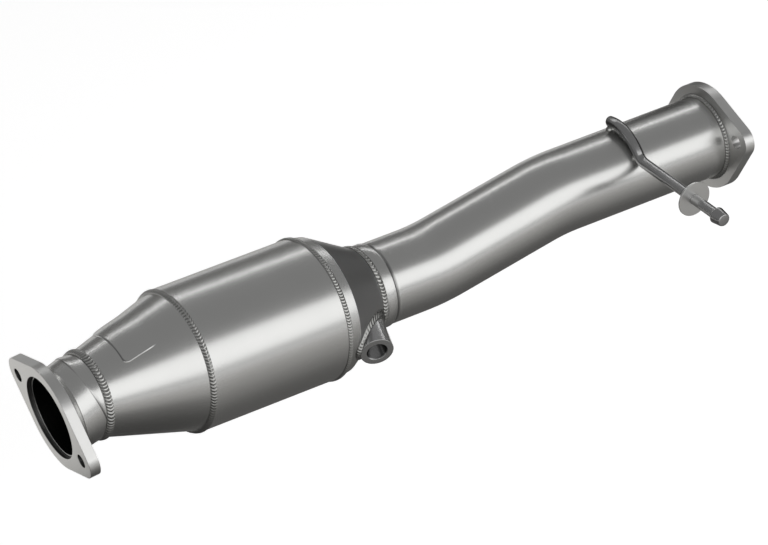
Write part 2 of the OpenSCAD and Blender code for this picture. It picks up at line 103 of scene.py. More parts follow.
def turned(section, steps=256, axis_z=CAN_AXIS_Z):
    """A closed section of (x, radius) points in millimetres, turned round the X axis."""
    bm = bmesh.new()
    geom = wire_loop(bm, [point(x, 0, axis_z + r) for x, r in section])
    spin_round(bm, geom, point(0, 0, axis_z), (1, 0, 0), steps)
    return bm


def darken(bm, how_dark):
    """Keep a painted shade from 0 to 1 on every point, which the steel finishes read."""
    shade = bm.verts.layers.float.get("shade") or bm.verts.layers.float.new("shade")
    for v in bm.verts:
        v[shade] = max(v[shade], how_dark(v.co / MM))


def darken_inside(bm, wall_r, axis_z=CAN_AXIS_Z):
    """Paint shade on a tube's inner skin, which lies in its own shadow: all points under wall_r(x).
    """
    darken(bm, lambda p: 1.0 if math.hypot(p.y, p.z - axis_z) < wall_r(p.x) else 0.0)


def finish(name, bm, node, material, edge=0.0, flat=False):
    """Make the mesh an object that rides with the part and stands for its CAD node."""
    bmesh.ops.recalc_face_normals(bm, faces=bm.faces)
    if flat:
        for e in bm.edges:
            e.smooth = e.calc_face_angle(0.0) < math.radians(50)
    mesh = bpy.data.meshes.new(name)
    bm.to_mesh(mesh)
    bm.free()
    mesh.polygons.foreach_set("use_smooth", [True] * len(mesh.polygons))
    piece = bpy.data.objects.new(name, mesh)
    bpy.context.scene.collection.objects.link(piece)
    mesh.materials.append(material)
    if edge:
        bevel = piece.modifiers.new("soft edges", "BEVEL")
        bevel.width = edge * MM
        bevel.segments = 2
        bevel.limit_method = "ANGLE"
        bevel.angle_limit = math.radians(28)
        bevel.use_clamp_overlap = True
    if edge or flat:
        weighted = piece.modifiers.new("flat faces", "WEIGHTED_NORMAL")
        weighted.keep_sharp = True
    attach(piece, "root")
    if node:
        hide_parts(node)
    print(f"{name}: {len(mesh.polygons)} faces")
    return piece


# %% [markdown]
# Satin stainless steel is a metal with a fairly rough polish. A fine noise, stretched along
# the grain, varies the polish and the surface a very little, and a coarse noise clouds the
# tone. Painted shade comes from the darkness kept on a piece's points: the finish reads
# it and darkens there. Both patterns are read in the piece's own coordinates.

# %% The steel finishes
POLISH_SPREAD = 0.008
# The tone that the steel is painted down to where the kept shade is full.
PAINTED_SHADE_TONE = 0.14


def node_of(tree, kind, **values):
    """Add a shader node and set its plain inputs or its own settings."""
    made = tree.nodes.new(kind)
    for name, value in values.items():
        if name in made.inputs:
            made.inputs[name].default_value = value
        else:
            setattr(made, name, value)
    return made


def steel(name, tone, rough, grain, cloud=0.03, bump=0.0005):
    """Satin steel: grain is how the noise is stretched along X, Y and Z."""
    material = bpy.data.materials.new(name)
    material.use_nodes = True
    tree = material.node_tree
    link = tree.links.new
    shader = tree.nodes["Principled BSDF"]
    shader.inputs["Metallic"].default_value = 1.0
    place = node_of(tree, "ShaderNodeTexCoord")
    stretch = node_of(tree, "ShaderNodeMapping")
    stretch.inputs["Scale"].default_value = grain
    fine = node_of(tree, "ShaderNodeTexNoise", Scale=900.0, Detail=3.0, Roughness=0.6)
    cloudy = node_of(tree, "ShaderNodeTexNoise", Scale=22.0, Detail=2.0, Roughness=0.5)
    link(place.outputs["Object"], stretch.inputs["Vector"])
    link(stretch.outputs["Vector"], fine.inputs["Vector"])
    link(place.outputs["Object"], cloudy.inputs["Vector"])
    shade = node_of(tree, "ShaderNodeMapRange")
    shade.inputs["To Min"].default_value = 1 - cloud
    shade.inputs["To Max"].default_value = 1 + cloud
    link(cloudy.outputs["Fac"], shade.inputs["Value"])
    tint = node_of(tree, "ShaderNodeMix", data_type="RGBA", blend_type="MULTIPLY")
    tint.inputs["Factor"].default_value = 1.0
    tint.inputs["A"].default_value = (*tone, 1)
    link(shade.outputs["Result"], tint.inputs["B"])
    # Painted shade: the darkness kept on the points multiplies the tone down towards the shaded tone.
    kept = node_of(tree, "ShaderNodeAttribute", attribute_name="shade")
    shade_factor = node_of(tree, "ShaderNodeMapRange")
    shade_factor.inputs["To Min"].default_value = 1.0
    shade_factor.inputs["To Max"].default_value = PAINTED_SHADE_TONE
    link(kept.outputs["Fac"], shade_factor.inputs["Value"])
    painted_shade = node_of(tree, "ShaderNodeMix", data_type="RGBA", blend_type="MULTIPLY")
    painted_shade.inputs["Factor"].default_value = 1.0
    link(tint.outputs["Result"], painted_shade.inputs["A"])
    link(shade_factor.outputs["Result"], painted_shade.inputs["B"])
    link(painted_shade.outputs["Result"], shader.inputs["Base Color"])
    polish = node_of(tree, "ShaderNodeMapRange")
    polish.inputs["To Min"].default_value = rough - POLISH_SPREAD
    polish.inputs["To Max"].default_value = rough + POLISH_SPREAD
    link(fine.outputs["Fac"], polish.inputs["Value"])
    link(polish.outputs["Result"], shader.inputs["Roughness"])
    relief = node_of(tree, "ShaderNodeBump", Strength=bump, Distance=0.0004)
    link(fine.outputs["Fac"], relief.inputs["Height"])
    link(relief.outputs["Normal"], shader.inputs["Normal"])
    return material


tube_steel = steel("satin tube steel", (0.56, 0.56, 0.55), 0.27, (3.0, 0.35, 0.35))
cone_steel = steel("matt pressed steel", (0.42, 0.42, 0.42), 0.36, (1.0, 1.0, 1.0))
plate_steel = steel("milled plate steel", (0.61, 0.61, 0.60), 0.36, (0.3, 1.0, 1.0),
                    cloud=0.05, bump=0.003)
rod_steel = steel("drawn rod steel", (0.36, 0.36, 0.36), 0.24, (1.0, 0.2, 1.0))
washer_steel = steel("stamped washer steel", (0.66, 0.66, 0.65), 0.32, (1.0, 1.0, 1.0))
bung_steel = steel("turned bung steel", (0.46, 0.46, 0.46), 0.24, (1.0, 1.0, 1.0))
print("steels:", [m.name for m in bpy.data.materials if "steel" in m.name])

# %% [markdown]
# The camera stands far off and looks down at the part with a long lens, which is how the
# photograph keeps its long tube almost free of perspective.

# %% Camera
PICTURE_WIDTH = 768
lens_data = bpy.data.cameras.new("camera")
lens_data.sensor_width = 36.0
lens_data.lens = 268.45
lens_data.clip_end = 100.0
camera = bpy.data.objects.new("camera", lens_data)
bpy.context.scene.collection.objects.link(camera)
look_right = Vector((0.82, -0.5724, 0.0))
look_up = Vector((0.3123, 0.4473, 0.8381))
look_back = look_right.cross(look_up)
camera.matrix_world = (Matrix.Translation(point(-2085.78, -3490.90, 2788.62))
                       @ Matrix((look_right, look_up, look_back)).transposed().to_4x4()
                       @ Matrix.Rotation(math.radians(-0.1), 4, "Z"))
lens_data.shift_x = -0.25 / PICTURE_WIDTH
lens_data.shift_y = 0.3 / PICTURE_WIDTH
bpy.context.scene.camera = camera
print("camera at", [round(c, 3) for c in camera.matrix_world.translation])

# %% [markdown]
# The can is the plainest piece: a tube of sheet steel. Two rounded edges are all it needs.

# %% Converter can
can = turned([(CAN_X, CAN_R - CAN_WALL), (CAN_X, CAN_R),
              (CAN_END_X, CAN_R), (CAN_END_X, CAN_R - CAN_WALL)], steps=360)
darken_inside(can, lambda x: CAN_R - CAN_WALL / 2)
finish("converter_can", can, "converter_shell", tube_steel, edge=0.4)

# %% [markdown]
# The inlet cone is pressed from sheet. A maker presses a raised pad into it for markings; here
# the pad is left bare. Two helpers give the pad's shape, as a height over the cone, and the
# painted shade of the dark line at the foot of its left edge.

# %% The shape of the cone and its pad
CONE_SLOPE = (CONE_ENTRY_R - CONE_SMALL_R) / (CAN_X - CONE_X)
PAD_X = 61.5
PAD_LOW_ANGLE = 125.5
PAD_HIGH_ANGLE = 44
PAD_HEIGHT = 1.3
LOW_CORNER, HIGH_CORNER = 5.0, 14.0


def cone_r(x):
    """Outside radius of the inlet cone."""
    return CONE_SMALL_R + (x - CONE_X) * CONE_SLOPE


def soft_step(value, low, high):
    """0 below low, 1 above high, and a smooth rise between them."""
    t = min(1.0, max(0.0, (value - low) / (high - low)))
    return t * t * (3 - 2 * t)


def pad_height(x, degrees):
    """How far the pad stands off the cone, in millimetres."""
    edge_low = PAD_LOW_ANGLE - 4.5 * (x - 67) / 25
    from_left = x - PAD_X
    inside = from_left
    for reach, corner in ((edge_low - degrees, LOW_CORNER), (degrees - PAD_HIGH_ANGLE, HIGH_CORNER)):
        from_side = math.radians(reach) * cone_r(x)
        if from_left < corner and from_side < corner:
            inside = min(inside, corner - math.hypot(corner - from_left, corner - from_side))
        else:
            inside = min(inside, from_side)
    rise = PAD_HEIGHT * (1 - soft_step(x, 72, 101))
    crease = 0.35 * math.exp(-((inside + 0.25) / 0.35) ** 2) * (1 - soft_step(x, 70, 98))
    return rise * soft_step(inside, -0.2, 1.0) - crease


def pad_edge(x, degrees):
    """How much painted shade lies at the foot of the pad's left edge."""
    from_left = x - PAD_X
    from_low = math.radians(PAD_LOW_ANGLE - degrees) * cone_r(CONE_X + 24)
    corner = 6
    if from_low < 0 or from_left > corner:
        return 0.0
    off = from_left
    if from_low <= corner:
        off = corner - math.hypot(corner - from_left, corner - from_low)
    line = 0.8 * math.exp(-((off - 0.25) / 0.5) ** 2)
    return line * soft_step(from_low, 0, 5) * soft_step(degrees, 66, 80)


print("cone half angle:", round(math.degrees(math.atan(CONE_SLOPE)), 1))

# %% [markdown]
# The cone slips into the can with a straight skirt, so its section is turned with one corner.
# The pad is a fine patch just over the cone's skin, because its soft edge would need far too
# many faces if the whole cone were that fine. The patch is a grid bent to the cone, and an
# extruded copy of it behind gives it a wall.

# %% Inlet cone with its bare pad
SKIRT_R = CAN_R - CAN_WALL - 0.3
SKIRT_X = CONE_X + (SKIRT_R - CONE_SMALL_R) / CONE_SLOPE
SKIRT_END_X = CAN_X + 12
PATCH_X, PATCH_LENGTH = 79.5, 39
PATCH_ANGLE, PATCH_TURN = 80.25, 95
PATCH_SUNK = 0.12
PATCH_WALL = 0.7

cone = turned([(CONE_X, CONE_SMALL_R - CAN_WALL), (CONE_X, CONE_SMALL_R), (SKIRT_X, SKIRT_R),
               (SKIRT_END_X, SKIRT_R), (SKIRT_END_X, SKIRT_R - CAN_WALL),
               (SKIRT_X, SKIRT_R - CAN_WALL)], steps=360)
darken_inside(cone, lambda x: min(SKIRT_R, cone_r(x)) - CAN_WALL / 2)
shade = cone.verts.layers.float["shade"]
patch = bmesh.ops.create_grid(cone, x_segments=120, y_segments=190, size=0.5)["verts"]
patch_faces = list({f for v in patch for f in v.link_faces})
for v in patch:
    x = PATCH_X + PATCH_LENGTH * v.co.x
    degrees = PATCH_ANGLE + PATCH_TURN * v.co.y
    r = cone_r(x) - PATCH_SUNK + pad_height(x, degrees)
    a = math.radians(degrees)
    v[shade] = pad_edge(x, degrees)
    v.co = point(x, r * math.cos(a), CAN_AXIS_Z + r * math.sin(a))
skin = bmesh.ops.extrude_face_region(cone, geom=patch_faces, use_keep_orig=True)
for v in [g for g in skin["geom"] if isinstance(g, bmesh.types.BMVert)]:
    out = Vector((0, v.co.y, v.co.z - CAN_AXIS_Z * MM))
    v.co = Vector((v.co.x, 0, CAN_AXIS_Z * MM)) + out * (1 - PATCH_WALL * MM / out.length)
finish("inlet_cone_pressing", cone, "inlet_cone", tube_steel, edge=0.3)

# %% [markdown]
# Each end flange is a two-bolt plate, cut from thick sheet. Its outline is four arcs: an ear
# round each bolt and a wide arc on each side. Rings of that outline, stepped in a little at
# both faces, give the edge its small radius, and the flat faces are filled between the rings.

# %% The shape of a flange plate
FLANGE_MID_R = 49.5
EDGE_STEPS = [(0.35, 0.0), (0.1, 0.1), (0.0, 0.35)]


def arc(centre, radius, start, end, steps):
    """Points on an arc about (centre, 0), leaving out the last."""
    turns = [math.radians(start + (end - start) * i / steps) for i in range(steps)]
    return [(centre + radius * math.cos(a), radius * math.sin(a)) for a in turns]


def plate_outline(span, ear_r, inset):
    """The outline of a two-bolt plate, made smaller by inset all round."""
    g = math.degrees(math.acos((FLANGE_MID_R - ear_r) / (span / 2)))
    return (arc(span / 2, ear_r - inset, -g, g, 48) + arc(0, FLANGE_MID_R - inset, g, 180 - g, 48)
            + arc(-span / 2, ear_r - inset, 180 - g, 180 + g, 48)
            + arc(0, FLANGE_MID_R - inset, 180 + g, 360 - g, 48))


def flange_plate(span, ear_r, bore_r, hole_r, hole_wall_shade, frame_matrix):
    """A plate whose first face is at x = 0, with bolt line along Y, then set in place."""
    bm = bmesh.new()
    heights = EDGE_STEPS + [(s, FLANGE_T - h) for s, h in reversed(EDGE_STEPS)]
    ends = [[], []]

    def wall(outline_at, side):
        rings = []
        for inset, height in heights:
            loop = wire_loop(bm, [point(height, u, v) for u, v in outline_at(inset * side)])
            rings.append([e for e in loop if isinstance(e, bmesh.types.BMEdge)])
        for low, high in zip(rings, rings[1:]):
            bmesh.ops.bridge_loops(bm, edges=low + high)
        ends[0].extend(rings[0])
        ends[1].extend(rings[-1])

    wall(lambda inset: plate_outline(span, ear_r, inset), 1.0)
    wall(lambda inset: arc(0, bore_r - inset, 0, 360, 180), -0.6)
    for side in (-1, 1):
        wall(lambda inset: arc(side * span / 2, hole_r - inset, 0, 360, 72), -0.6)
    for rim in ends:
        bmesh.ops.triangle_fill(bm, use_beauty=True, use_dissolve=False, edges=rim)

    # Painted shade on the walls of the bore and the bolt holes.
    def in_a_hole(p):
        if not 0.2 < p.x < FLANGE_T - 0.2:
            return 0.0
        if math.hypot(p.y, p.z) < bore_r + 0.02:
            return 0.75
        return hole_wall_shade if math.hypot(abs(p.y) - span / 2, p.z) < hole_r + 0.02 else 0.0

    darken(bm, in_a_hole)
    bmesh.ops.transform(bm, matrix=frame_matrix, verts=bm.verts)
    return bm


print("edge rings from a face:", EDGE_STEPS)

# %% [markdown]
# The outlet plate stands square to its pipe and is only rolled about it. The inlet plate is
# tipped, turned and rolled, so it is placed by a matrix from its own two directions: the way
# into the neck and the line through its bolts.

# %% Both flange plates
BOLT_HOLE_R = 6.3


def frame_at(origin, x_axis, y_axis):
    """A placing matrix from an origin and two directions at right angles."""
    z_axis = x_axis.cross(y_axis)
    turn = Matrix((x_axis, y_axis, z_axis)).transposed().to_4x4()
    return Matrix.Translation(origin) @ turn


pitch, yaw, roll = (math.radians(d) for d in (9.4, 4.3, 16.0))
INLET_IN = Vector((math.cos(pitch) * math.cos(yaw), -math.cos(pitch) * math.sin(yaw),
                   math.sin(pitch)))
INLET_SIDE = Vector((math.sin(yaw), math.cos(yaw), 0))
inlet_bolt_line = INLET_SIDE * math.cos(roll) + INLET_IN.cross(INLET_SIDE) * math.sin(roll)
inlet_plate = flange_plate(span=109.0, ear_r=16.4, bore_r=PIPE_R + 0.95, hole_r=BOLT_HOLE_R,
                           hole_wall_shade=0.85,
                           frame_matrix=frame_at(Vector((0, 0, 0)), INLET_IN, inlet_bolt_line))
finish("inlet_flange_plate", inlet_plate, "inlet_flange", plate_steel, flat=True)

out_roll = math.radians(-20.4)
outlet_bolt_line = Vector((0, math.cos(out_roll), math.sin(out_roll)))
outlet_place = frame_at(point(FLANGE_X, 0, TAIL_Z), Vector((1, 0, 0)), outlet_bolt_line)
outlet_plate = flange_plate(span=105.0, ear_r=15.0, bore_r=PIPE_R + 0.25, hole_r=BOLT_HOLE_R,
                            hole_wall_shade=0.1, frame_matrix=outlet_place)
finish("outlet_flange_plate", outlet_plate, "outlet_flange", plate_steel, flat=True)

# %% [markdown]
# The neck joins the tilted flange to the level can, so it is a short tube with one slanted
# kink. Two helpers find points on it: along the slanted part, measured from the flange's
# face, and on the plane of the kink, where the level part begins.

# %% Lines along the neck
NECK_FROM = 4.0
NECK_AXIS_FROM = 7.0
KINK = Vector((33.7, 0, CAN_AXIS_Z))
NECK_START = INLET_IN * NECK_AXIS_FROM
NECK_DIR = (KINK - NECK_START).normalized()
NECK_SIDE = Vector((-NECK_DIR.y, NECK_DIR.x, 0)).normalized()
NECK_TOP = NECK_DIR.cross(NECK_SIDE)
KINK_SLANT = math.radians(20)


def on_neck(r, a, depth):
    """The point on the slanted neck at radius r and angle a, depth behind the flange's face."""
    base = NECK_START + (NECK_SIDE * math.cos(a) + NECK_TOP * math.sin(a)) * r
    return base + NECK_DIR * ((depth - base.dot(INLET_IN)) / NECK_DIR.dot(INLET_IN))


def on_kink(r, a):
    """Where the level tube, at radius r and angle a, starts from the slanted kink plane."""
    y, z = r * math.cos(a), r * math.sin(a)
    return Vector((KINK.x - math.tan(KINK_SLANT) * z, y, CAN_AXIS_Z + z))


print("neck leans:", round(math.degrees(NECK_DIR.angle(Vector((1, 0, 0)))), 1), "degrees")

# %% [markdown]
# A straight tube is turned first, and then its rings are carried to their places: the end ring
# to the flange, the kink ring to its plane, and the rest in between. The fold that the kink
# leaves is a small step in the section, which fades where the bender held the tube.

# %% Neck with its kink
KINK_AT = 30.8
NECK_TO = NECK_WELD_X - 0.15
neck_last = NECK_WELD_X - 0.6
neck_stations = [(NECK_FROM, 0), (4.3, 0), (12.0, 0), (20.0, 0), (28.0, 0), (30.2, 0),
                 (30.6, 0.05), (30.9, 0.3), (31.2, 0.55), (31.6, 0.65), (33.0, 0.55), (36.4, 0.0),
                 (NECK_WELD_X - 0.5, 0), (NECK_TO, 0)]
outside = [(x, PIPE_R + step) for x, step in neck_stations]
inside = [(x, PIPE_R - PIPE_WALL) for x, _ in reversed(neck_stations)]
neck = turned(outside + inside, steps=240)


def crease(angle):
    """How sharp the kink's crease is round the tube; it fades where the bender held the tube."""
    turn = math.degrees(angle) % 360
    return 1 - 0.97 * math.exp(-((turn - 118) / 18) ** 2)


def fold_shade(p):
    """Painted shade for the fold: darkest in its crease, and low on the tube on its far side too."""
    turn = math.atan2(p.z - CAN_AXIS_Z, p.y)
    if 30.5 < p.x < 31.0:
        return 0.5 * crease(turn)
    return 0.5 * soft_step(math.degrees(turn) % 360, 135, 165) if 31.0 < p.x < 32.0 else 0.0


darken_inside(neck, lambda x: PIPE_R - PIPE_WALL / 2 if x > NECK_FROM + 0.1 else 0.0)
darken(neck, fold_shade)
for v in neck.verts:
    x = v.co.x / MM
    r = math.hypot(v.co.y, v.co.z - CAN_AXIS_Z * MM) / MM
    a = math.atan2(v.co.z - CAN_AXIS_Z * MM, v.co.y)
    r = min(r, PIPE_R) + max(0.0, r - PIPE_R) * crease(a)
    start, kink = on_neck(r, a, NECK_FROM), on_kink(r, a)
    if kink.x > neck_last:
        kink = start.lerp(kink, (neck_last - start.x) / (kink.x - start.x))
    if x <= KINK_AT:
        place = start.lerp(kink, (x - NECK_FROM) / (KINK_AT - NECK_FROM))
    else:
        place = kink.lerp(Vector((NECK_TO, kink.y, kink.z)), (x - KINK_AT) / (NECK_TO - KINK_AT))
    v.co = place * MM
finish("inlet_neck_tube", neck, "inlet_neck", tube_steel)

# %% [markdown]
# The outlet cone starts as a gentle lip on the can and then turns in steeply. The sensor bung
# sits on the steep part, so the cone is open under it. The faces under the bung are taken out,
# and the ragged rim that this leaves is drawn onto a true circle round the bung's axis.

# %% Outlet cone
BUNG_R = 15.2
BUNG_REACH = 74.4
BUNG_BEFORE_COLLAR = 6.9
HOLE_R = 10.5
bung_lean, bung_drop = math.radians(18.4), math.radians(13.0)
BUNG_PLACE = (Matrix.Translation(point(COLLAR_WELD_X - BUNG_BEFORE_COLLAR, 0, CAN_AXIS_Z))
              @ Matrix.Rotation(-bung_lean, 4, "Z")
              @ Matrix.Rotation(math.pi / 2 + bung_drop, 4, "X"))


def outlet_cone_r(x):
    """Outside radius of the outlet cone, its lip and the collar behind it."""
    if x < STEEP_X:
        return CAN_R - (CAN_R - LIP_END_R) * (x - LIP_X) / (STEEP_X - LIP_X)
    return max(COLLAR_R, LIP_END_R - (LIP_END_R - COLLAR_R) * (x - STEEP_X) / STEEP_LENGTH)


def cone_height(r, a):
    """How far along the bung's axis a line at radius r and angle a meets the outlet cone."""
    low, high = 0.0, BUNG_REACH
    for _ in range(24):
        middle = (low + high) / 2
        p = BUNG_PLACE @ (Vector((r * math.cos(a), r * math.sin(a), middle)) * MM)
        off = math.hypot(p.y, p.z - CAN_AXIS_Z * MM) - outlet_cone_r(p.x / MM) * MM
        low, high = (low, middle) if off > 0 else (middle, high)
    return (low + high) / 2


steep_rows = [(STEEP_X + i, LIP_END_R - (LIP_END_R - COLLAR_R) * i / STEEP_LENGTH)
              for i in range(1, 42)]
cone_outer = ([(LIP_X, CAN_R), (STEEP_X, LIP_END_R)] + steep_rows
              + [(STEEP_END_X, COLLAR_R), (COLLAR_WELD_X - 0.15, COLLAR_R)])
cone_inner = [(x - (CAN_WALL / 2 if r > COLLAR_R else 0), r - CAN_WALL)
              for x, r in reversed(cone_outer)]
cone_inner[-1] = (LIP_X, CAN_R - CAN_WALL)
outlet = turned(cone_outer + cone_inner, steps=300)
darken_inside(outlet, lambda x: outlet_cone_r(x) - CAN_WALL / 2)
from_bung = BUNG_PLACE.inverted()
under_bung = []
for f in outlet.faces:
    c = from_bung @ f.calc_center_median()
    if c.z > 0 and math.hypot(c.x, c.y) < HOLE_R * MM:
        under_bung.append(f)
bmesh.ops.delete(outlet, geom=under_bung, context="FACES")
for v in [v for v in outlet.verts if v.is_boundary]:
    c = from_bung @ v.co
    flat = math.hypot(c.x, c.y)
    c.x, c.y = c.x * HOLE_R * MM / flat, c.y * HOLE_R * MM / flat
    v.co = BUNG_PLACE @ c
rims = [e for e in outlet.edges if e.is_boundary]
bmesh.ops.bridge_loops(outlet, edges=rims)
for f in outlet.faces:
    f.material_index = 1 if f.calc_center_median().x < (STEEP_X + 0.1) * MM else 0
pressing = finish("outlet_cone_pressing", outlet, "outlet_cone", cone_steel, edge=0.35)
pressing.data.materials.append(tube_steel)

# %% [markdown]
# The tail pipe is one tube with a swaged collar and two gentle bends. It is turned straight,
# with rings close together where it will bend, and then every ring is carried to its place on
# the centre line, the way a bender draws a tube round its die.

# %% The tail pipe's centre line
TAIL_RISE = TAIL_Z - CAN_AXIS_Z
BEND = math.radians(10.6)
BEND_R = 190.0
BEND1_X = TAIL_X + 72.9
BEND2_X = BEND1_X + TAIL_RISE / math.tan(BEND)
TANGENT = BEND_R * math.tan(BEND / 2)
SLOPE_LEN = TAIL_RISE / math.sin(BEND) - 2 * TANGENT
RUNS = [BEND1_X - TANGENT, BEND_R * BEND, SLOPE_LEN, BEND_R * BEND]
PIPE_RECESS = 4.0
TAIL_END = FLANGE_X + FLANGE_T - PIPE_RECESS
TAIL_LENGTH = sum(RUNS) + TAIL_END - BEND2_X - TANGENT


def on_centre_line(s):
    """Place and direction on the tail pipe's centre line, s millimetres from the inlet face."""
    a, b, c, d = RUNS
    if s <= a:
        return Vector((s, 0, CAN_AXIS_Z)), 0.0
    if s <= a + b:
        turn = (s - a) / BEND_R
        x, z = a + BEND_R * math.sin(turn), CAN_AXIS_Z + BEND_R * (1 - math.cos(turn))
        return Vector((x, 0, z)), turn
    if s <= a + b + c:
        along = TANGENT + s - a - b
        x, z = BEND1_X + along * math.cos(BEND), CAN_AXIS_Z + along * math.sin(BEND)
        return Vector((x, 0, z)), BEND
    if s <= a + b + c + d:
        turn = BEND - (s - a - b - c) / BEND_R
        x, z = BEND2_X + TANGENT - BEND_R * math.sin(turn), TAIL_Z - BEND_R * (1 - math.cos(turn))
        return Vector((x, 0, z)), turn
    return Vector((BEND2_X + TANGENT + s - a - b - c - d, 0, TAIL_Z)), 0.0


print("tail pipe along its centre line:", round(TAIL_LENGTH - TAIL_X, 1), "mm")

# %% [markdown]
# Only the bends need close rings; a straight run needs none between its ends. The narrow
# groove behind the collar is painted darker, as shade in the groove.

# %% Tail pipe
GROOVE_FROM, GROOVE_TO = TAIL_X + 14.2, TAIL_X + 15.7
GROOVE_R = PIPE_R - 0.3


def spaced(start, end, steps):
    """Evenly spaced values, both ends included."""
    return [start + (end - start) * i / steps for i in range(steps + 1)]


collar = [(TAIL_X, COLLAR_R), (TAIL_X + 12.8, COLLAR_R), (TAIL_X + 13.3, COLLAR_R - 0.15),
          (GROOVE_FROM, GROOVE_R), (GROOVE_TO, GROOVE_R), (TAIL_X + 17.2, PIPE_R),
          (TAIL_X + 20, PIPE_R)]
rings = []
for bend_from in (RUNS[0], sum(RUNS[:3])):
    bend_to = bend_from + BEND_R * BEND
    rings += [bend_from - 6] + spaced(bend_from, bend_to, 20) + [bend_to + 6]
outer = collar + [(s, PIPE_R) for s in rings + [TAIL_LENGTH - 0.4, TAIL_LENGTH]]
inner = [(s, r - PIPE_WALL) for s, r in reversed(outer)]
tail = turned(outer + inner, steps=240, axis_z=0)
darken_inside(tail, lambda x: PIPE_R - PIPE_WALL / 2, axis_z=0)
darken(tail, lambda p: 0.6 if GROOVE_FROM - 0.1 < p.x < GROOVE_TO + 0.1 else 0.0)
for v in tail.verts:
    place, turn = on_centre_line(v.co.x / MM)
    v.co = Vector((place.x * MM - v.co.z * math.sin(turn), v.co.y,
                   place.z * MM + v.co.z * math.cos(turn)))
finish("tail_tube", tail, "tail_pipe", tube_steel)

# %% [markdown]
# The hanger rod is bent from round bar: over the top of the pipe in a hump, down its side into
# a level arm, with an upset head that keeps the rubber on. It is turned straight, head and
# all, and carried round its bends as the pipe was.

# %% Hanger rod
ROD_R = 5.0
SEAT_GAP = 0.12
ROD_SEAT_R = PIPE_R + ROD_R + SEAT_GAP
ELBOW_R = 12.0
ELBOW_Z = 38.0
ELBOW = (-math.sqrt((ROD_SEAT_R + ELBOW_R) ** 2 - ELBOW_Z ** 2), ELBOW_Z)
ARM_Z = ELBOW_Z - ELBOW_R
ARM_REACH = 156.8
HUMP_R = 40.0
HUMP = (0.70, 5.80)
hump_to = math.atan2(ELBOW[1] - HUMP[1], ELBOW[0] - HUMP[0])
hump_from = math.radians(71.8)
HUMP_LEN = HUMP_R * (hump_to - hump_from)
ELBOW_LEN = ELBOW_R * (hump_to - math.pi / 2)
ARM_LEN = ARM_REACH + ELBOW[0]


def on_rod(s):
    """Place and direction on the rod's centre line, in the plane across the tail pipe."""
    if s <= HUMP_LEN:
        a = hump_from + s / HUMP_R
        return (HUMP[0] + HUMP_R * math.cos(a), HUMP[1] + HUMP_R * math.sin(a)), a + math.pi / 2
    if s <= HUMP_LEN + ELBOW_LEN:
        a = hump_to - math.pi - (s - HUMP_LEN) / ELBOW_R
        return (ELBOW[0] + ELBOW_R * math.cos(a), ELBOW[1] + ELBOW_R * math.sin(a)), a - math.pi / 2
    return (ELBOW[0] - (s - HUMP_LEN - ELBOW_LEN), ARM_Z), -math.pi


rod_end = HUMP_LEN + ELBOW_LEN + ARM_LEN
head_from = rod_end - 13.0
rod_tip = [(0, 0), (0, 4.4), (0.6, ROD_R)]
rod_bends = spaced(2, HUMP_LEN, 40) + spaced(HUMP_LEN, HUMP_LEN + ELBOW_LEN, 20)[1:]
rod_head = [(head_from - 1.2, ROD_R), (head_from, 5.35), (head_from + 1.3, 7.35),
            (head_from + 2.0, 7.7), (head_from + 3.1, 7.6), (rod_end - 1.4, 6.35),
            (rod_end - 0.5, 5.9), (rod_end, 5.1), (rod_end, 0)]
rod_section = rod_tip + [(s, ROD_R) for s in rod_bends] + rod_head
rod = bmesh.new()
rod_line = wire_loop(rod, [point(s, 0, r) for s, r in rod_section], closed=False)
spin_round(rod, rod_line, (0, 0, 0), (1, 0, 0), 56)
for v in rod.verts:
    (y, z), heading = on_rod(v.co.x / MM)
    v.co = Vector((HANGER_X * MM + v.co.y, y * MM - v.co.z * math.sin(heading),
                   (z + TAIL_Z) * MM + v.co.z * math.cos(heading)))
finish("hanger_rod_bar", rod, "hanger_rod", rod_steel, flat=True)
print("rod runs:", round(HUMP_LEN, 1), round(ELBOW_LEN, 1), round(ARM_LEN, 1))

# %% [markdown]
# The washer stops the rubber from sliding along the arm. It is stamped from sheet, so its
# section is turned like the tubes, with a small slope for the edge that stamping leaves.

# %% Stop washer
WASHER_R = 16.8
WASHER_Y = -112.6
washer = turned([(-1.0, ROD_R + SEAT_GAP), (-1.0, WASHER_R - 0.2), (-0.8, WASHER_R),
                 (0.8, WASHER_R), (1.0, WASHER_R - 0.2), (1.0, ROD_R + SEAT_GAP)],
                steps=120, axis_z=0)
on_the_arm = (Matrix.Translation(point(HANGER_X, WASHER_Y, TAIL_Z + ARM_Z))
              @ Matrix.Rotation(-math.pi / 2, 4, "Z"))
bmesh.ops.transform(washer, matrix=on_the_arm, verts=washer.verts)
finish("stop_washer", washer, "hanger_washer", washer_steel, flat=True)

# %% [markdown]
# The sensor bung is a turned nut blank with a fine thread. Its foot is cut to the cone's
# curve: rows of the turned shape that lie below the cone are moved along the bung's axis onto
# it, and what falls together there is merged. The thread is drawn as close rings, which look
# the same as a helix at this size, and its bore is painted dark as shade.

# %% Sensor bung
THREAD_R = 9.0
TAP_R = 8.25
THREAD_PITCH = 1.5
THREAD_DEPTH = 27.0
thread = []
z = BUNG_REACH - 1.3
while z > BUNG_REACH - THREAD_DEPTH:
    thread += [(THREAD_R, z), (TAP_R, z - THREAD_PITCH / 2)]
    z -= THREAD_PITCH
bung_side = [(BUNG_R, 20)] + [(BUNG_R, 24 + 2 * i) for i in range(22)]
bung_mouth = [(BUNG_R, BUNG_REACH - 6), (BUNG_R, BUNG_REACH - 0.5),
              (BUNG_R - 0.15, BUNG_REACH - 0.15), (BUNG_R - 0.5, BUNG_REACH),
              (THREAD_R + 0.75, BUNG_REACH), (THREAD_R + 0.55, BUNG_REACH - 0.1)]
bung_section = bung_side + bung_mouth + thread + [(THREAD_R, 19.5)]
bung = bmesh.new()
bung_line = wire_loop(bung, [point(r, 0, h) for r, h in bung_section])
spin_round(bung, bung_line, (0, 0, 0), (0, 0, 1), 128)
